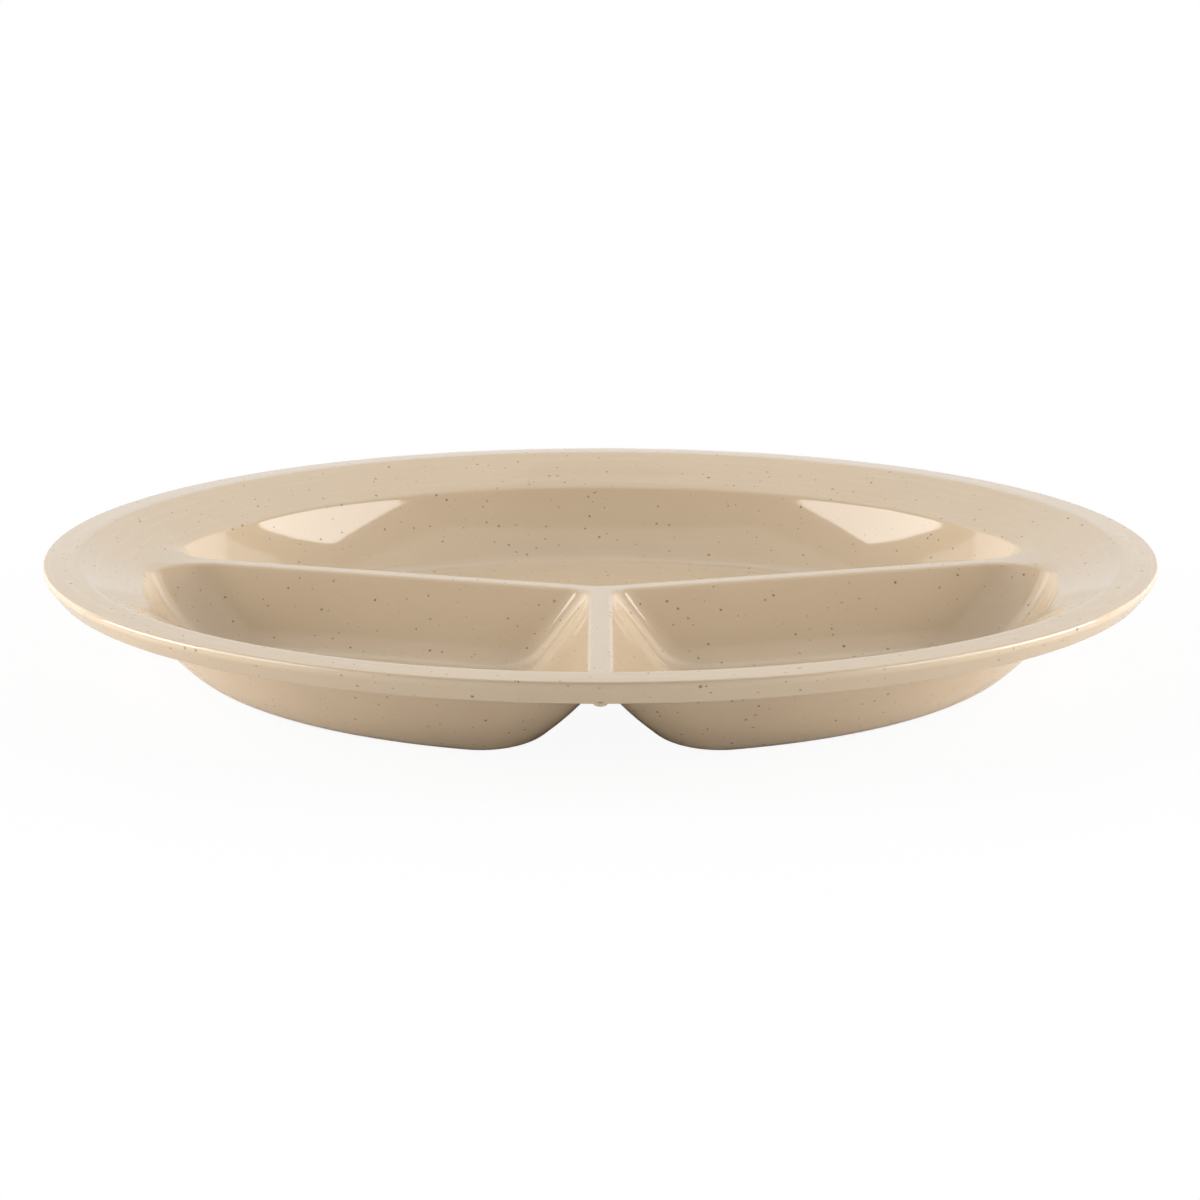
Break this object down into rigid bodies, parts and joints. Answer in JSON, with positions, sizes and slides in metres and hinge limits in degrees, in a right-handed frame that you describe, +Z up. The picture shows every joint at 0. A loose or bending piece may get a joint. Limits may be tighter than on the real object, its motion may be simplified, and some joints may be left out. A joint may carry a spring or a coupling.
{
  "type": "compartment plate",
  "caption": "Round moulded plate with a raised rim and turned-down lip, its inside parted into food wells by flat-topped dividers that meet in front of the middle.",
  "frame": {"origin": "on the table that the wells rest on, under the middle of the rim", "axes": "+Z up along the rim's axis, the front divider towards -Y, the large well towards +Y"},
  "size_m": [0.26, 0.26, 0.0262],
  "materials": {
    "melamine": "glossy moulded melamine with fine dark flecks"
  },
  "bodies": {
    "root": {"plate": "melamine"}
  },
  "joints": []
}
